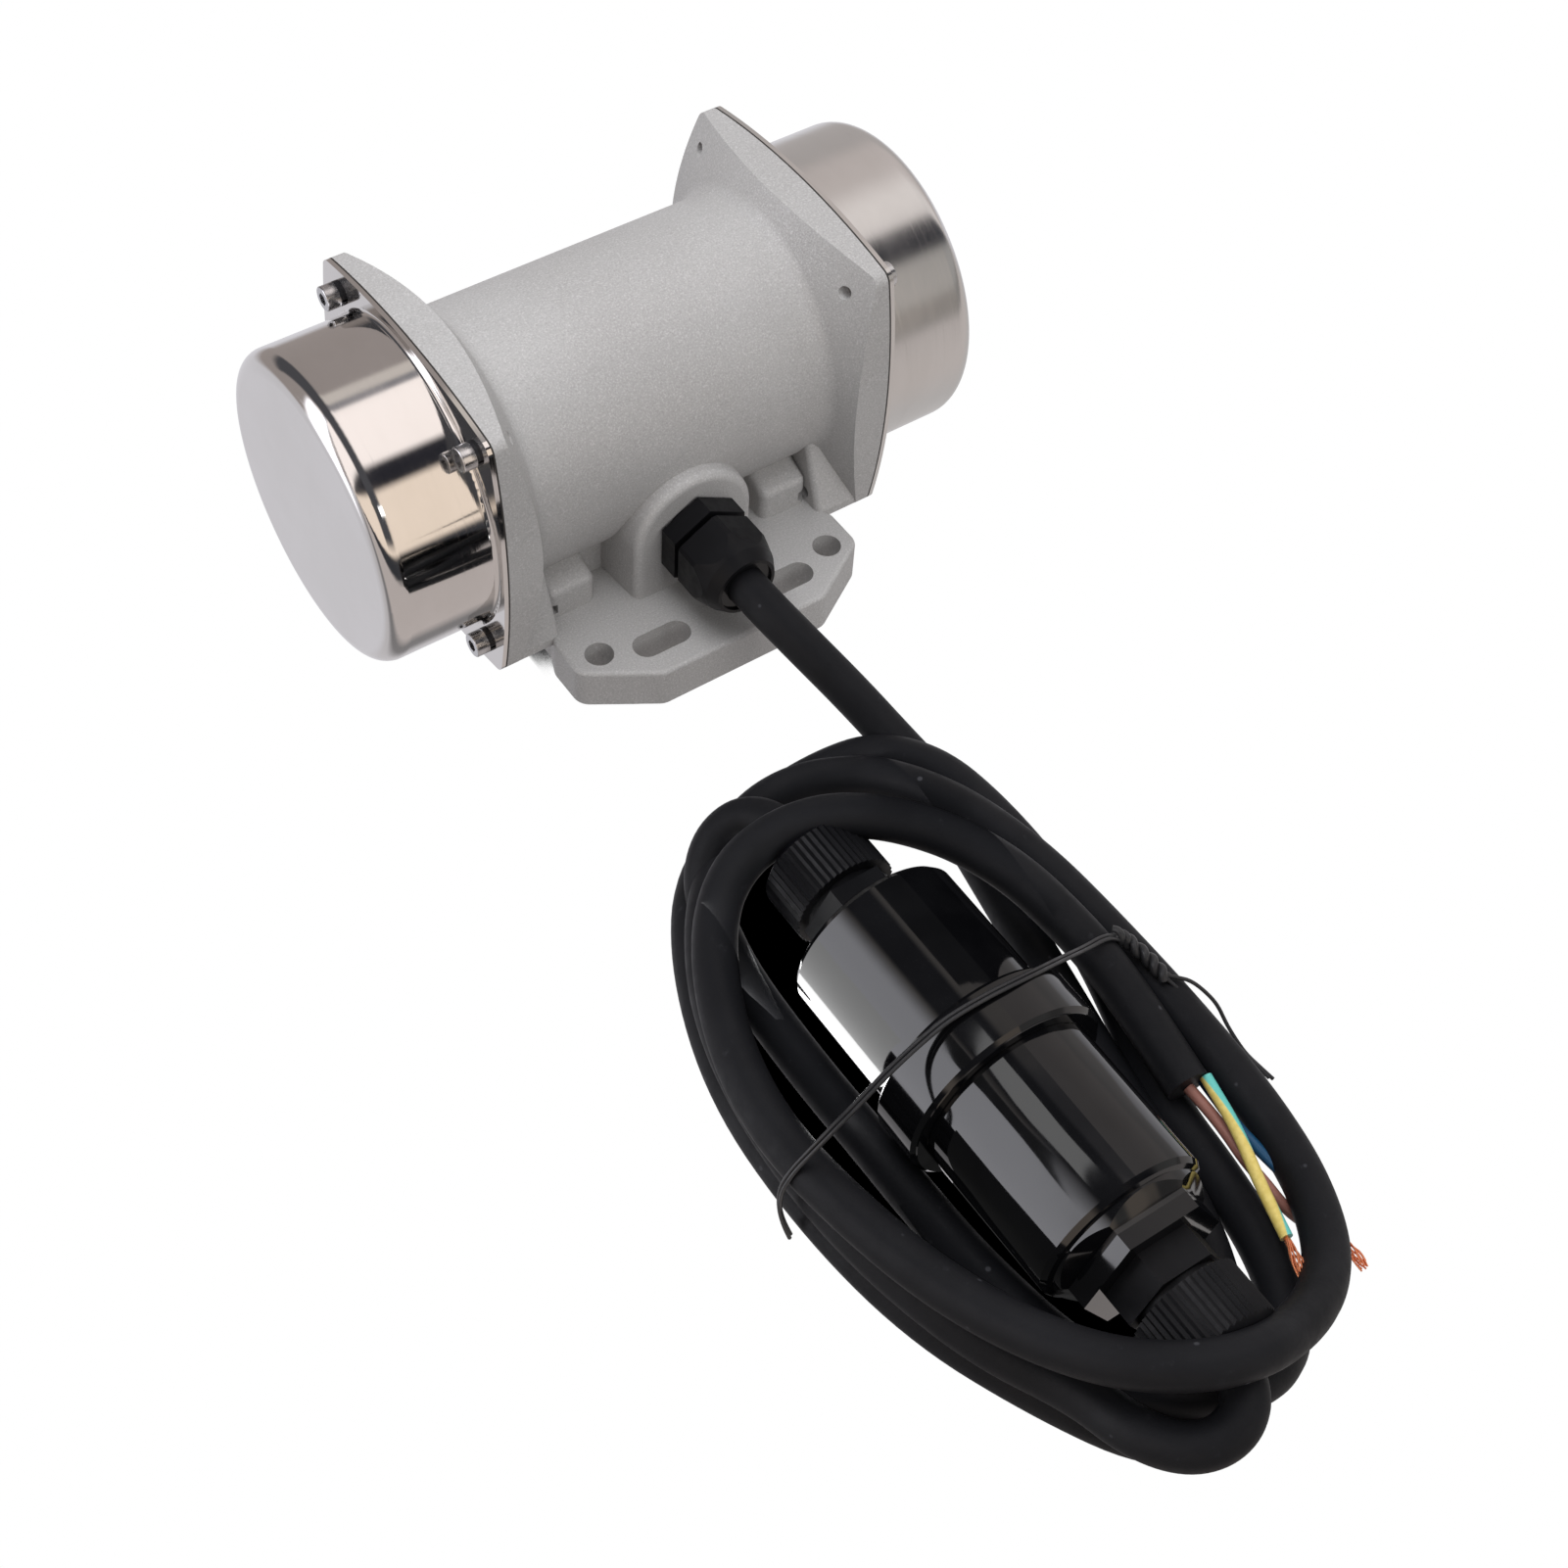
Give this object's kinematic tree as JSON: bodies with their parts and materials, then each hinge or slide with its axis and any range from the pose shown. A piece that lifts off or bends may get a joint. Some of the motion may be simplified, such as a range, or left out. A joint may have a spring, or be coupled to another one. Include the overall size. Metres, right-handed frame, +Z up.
{
  "type": "vibration motor",
  "caption": "Footed electric vibration motor with a drawn cap over the eccentric weights at each end, its cable coiled round an in-line capacitor box.",
  "frame": {"origin": "centre of the foot's underside, under the middle of the motor without its cable and coil", "axes": "+Z up from the surface the foot is bolted to, X along the motor shaft, the cable leaves towards -Y"},
  "size_m": [0.1522, 0.3157, 0.0771],
  "materials": {
    "cast_aluminium": "cast, fine orange-peel skin",
    "lamination": "stacked laminations",
    "winding": "varnished copper wire",
    "machined_steel": "ground",
    "bearing_steel": "polished",
    "cage_brass": "pressed",
    "weight_steel": "flame-cut plate",
    "spring_steel": "black oxide",
    "stainless_sheet": "drawn and polished",
    "gasket_rubber": "matte",
    "gland_plastic": "satin black",
    "seal_rubber": "smooth",
    "box_plastic": "gloss black",
    "capacitor_film": "resin-filled can",
    "cord_rubber": "matte black jacket",
    "core_yellow_green": "insulation",
    "core_brown": "insulation",
    "core_blue": "insulation",
    "copper": "bare stranded copper",
    "tie_plastic": "coated wire"
  },
  "bodies": {
    "motor_body": {"bearing_outer_left": "bearing_steel", "bearing_outer_right": "bearing_steel", "bearing_shield_left": "cast_aluminium", "bearing_shield_right": "cast_aluminium", "box_base_nut": "box_plastic", "box_collar": "box_plastic", "box_gland_body_lower": "gland_plastic", "box_gland_body_upper": "gland_plastic", "box_gland_nut_lower": "gland_plastic", "box_gland_nut_upper": "gland_plastic", "box_gland_seal_lower": "seal_rubber", "box_gland_seal_upper": "seal_rubber", "box_shell_lower": "box_plastic", "box_shell_upper": "box_plastic", "cap_left": "stainless_sheet", "cap_right": "stainless_sheet", "cap_screws_left": "machined_steel", "cap_screws_right": "machined_steel", "capacitor": "capacitor_film", "cord_coil_motor": "cord_rubber", "cord_coil_tail": "cord_rubber", "cord_motor": "cord_rubber", "cord_stubs": "cord_rubber", "core_blue": "core_blue", "core_brown": "core_brown", "core_copper": "copper", "core_yellow_green": "core_yellow_green", "gasket_left": "gasket_rubber", "gasket_right": "gasket_rubber", "housing": "cast_aluminium", "motor_gland_body": "gland_plastic", "motor_gland_nut": "gland_plastic", "motor_gland_seal": "seal_rubber", "motor_gland_seat": "seal_rubber", "spring_washers_left": "spring_steel", "spring_washers_right": "spring_steel", "stator_core": "lamination", "stator_windings": "winding", "twist_tie": "tie_plastic"},
    "rotor": {"rotor_core": "lamination", "rotor_end_rings": "cast_aluminium", "shaft": "machined_steel", "bearing_inner_left": "bearing_steel", "inner_weight_left": "weight_steel", "inner_weight_bolt_left": "machined_steel", "weight_key_left": "machined_steel", "circlip_left": "spring_steel", "bearing_inner_right": "bearing_steel", "inner_weight_right": "weight_steel", "inner_weight_bolt_right": "machined_steel", "weight_key_right": "machined_steel", "circlip_right": "spring_steel"},
    "outer_weight_set_left": {"outer_weight_left": "weight_steel", "outer_weight_bolt_left": "machined_steel"},
    "ball_set_left": {"bearing_balls_left": "bearing_steel", "bearing_cage_left": "cage_brass"},
    "outer_weight_set_right": {"outer_weight_right": "weight_steel", "outer_weight_bolt_right": "machined_steel"},
    "ball_set_right": {"bearing_balls_right": "bearing_steel", "bearing_cage_right": "cage_brass"}
  },
  "joints": [
    {"name": "rotor_spin", "type": "hinge", "parent": "motor_body", "child": "rotor", "pos_m": [0, 0, 0.0402], "axis": [1, 0, 0], "continuous": true},
    {"name": "outer_weight_adjust_left", "type": "hinge", "parent": "rotor", "child": "outer_weight_set_left", "pos_m": [0, 0, 0.0402], "axis": [1, 0, 0], "range_deg": [0, 180]},
    {"name": "ball_cage_left", "type": "hinge", "parent": "motor_body", "child": "ball_set_left", "pos_m": [0, 0, 0.0402], "axis": [1, 0, 0], "continuous": true},
    {"name": "outer_weight_adjust_right", "type": "hinge", "parent": "rotor", "child": "outer_weight_set_right", "pos_m": [0, 0, 0.0402], "axis": [1, 0, 0], "range_deg": [0, 180]},
    {"name": "ball_cage_right", "type": "hinge", "parent": "motor_body", "child": "ball_set_right", "pos_m": [0, 0, 0.0402], "axis": [1, 0, 0], "continuous": true}
  ],
  "couplings": [
    {"joint": "ball_cage_left", "follows": "rotor_spin", "ratio": 0.3773},
    {"joint": "ball_cage_right", "follows": "rotor_spin", "ratio": 0.3773}
  ]
}
